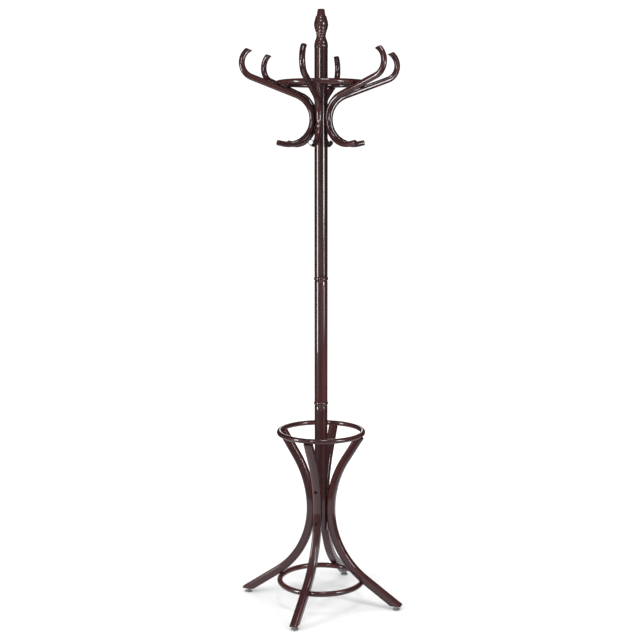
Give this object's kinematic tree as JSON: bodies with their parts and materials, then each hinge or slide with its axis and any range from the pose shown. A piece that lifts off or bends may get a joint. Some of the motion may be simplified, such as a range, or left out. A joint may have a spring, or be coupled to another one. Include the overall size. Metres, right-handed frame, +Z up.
{
  "type": "standing coat rack",
  "caption": "Tall bentwood coat stand with a turned pole and finial, curved hooked arms, a hat ring, splayed bent legs, an umbrella ring, a lower ring and levelling glides.",
  "frame": {"origin": "on the floor, on the axis of the pole, at the middle of the four feet", "axes": "+Z up along the pole; +X to the viewer's right and +Y away from the viewer when the stand is seen from the front"},
  "size_m": [0.5188, 0.5188, 1.87],
  "materials": {
    "wood_pole": "dark red mahogany stain under high-gloss lacquer, straight turned pieces",
    "wood_bent": "dark red mahogany stain under high-gloss lacquer, steam-bent rods",
    "steel_fastener": "bright zinc-plated screws and studs",
    "dark_fastener": "blackened socket-head bolts",
    "brass_insert": "threaded brass inserts",
    "glide_metal": "dull nickel-plated levelling glides"
  },
  "bodies": {
    "stand": {"finial": "wood_pole", "finial_stud": "steel_fastener", "upper_pole": "wood_pole", "upper_joint_stud": "steel_fastener", "middle_pole": "wood_pole", "lower_joint_stud": "steel_fastener", "lower_pole": "wood_pole", "pole_inserts": "brass_insert", "arm_1": "wood_bent", "arm_2": "wood_bent", "arm_3": "wood_bent", "arm_4": "wood_bent", "arm_5": "wood_bent", "arm_6": "wood_bent", "arm_screws": "steel_fastener", "hat_ring": "wood_bent", "hat_ring_screws": "steel_fastener", "leg_1": "wood_bent", "leg_2": "wood_bent", "leg_3": "wood_bent", "leg_4": "wood_bent", "leg_bolts": "dark_fastener", "umbrella_ring": "wood_bent", "umbrella_ring_screws": "steel_fastener", "lower_ring": "wood_bent", "lower_ring_screws": "steel_fastener", "glide_inserts": "brass_insert"},
    "glide_1": {"glide_1": "glide_metal"},
    "glide_2": {"glide_2": "glide_metal"},
    "glide_3": {"glide_3": "glide_metal"},
    "glide_4": {"glide_4": "glide_metal"}
  },
  "joints": [
    {"name": "glide_1_travel", "type": "slide", "parent": "stand", "child": "glide_1", "axis": [0, 0, -1], "range_m": [0, 0.006]},
    {"name": "glide_2_travel", "type": "slide", "parent": "stand", "child": "glide_2", "axis": [0, 0, -1], "range_m": [0, 0.006]},
    {"name": "glide_3_travel", "type": "slide", "parent": "stand", "child": "glide_3", "axis": [0, 0, -1], "range_m": [0, 0.006]},
    {"name": "glide_4_travel", "type": "slide", "parent": "stand", "child": "glide_4", "axis": [0, 0, -1], "range_m": [0, 0.006]}
  ]
}
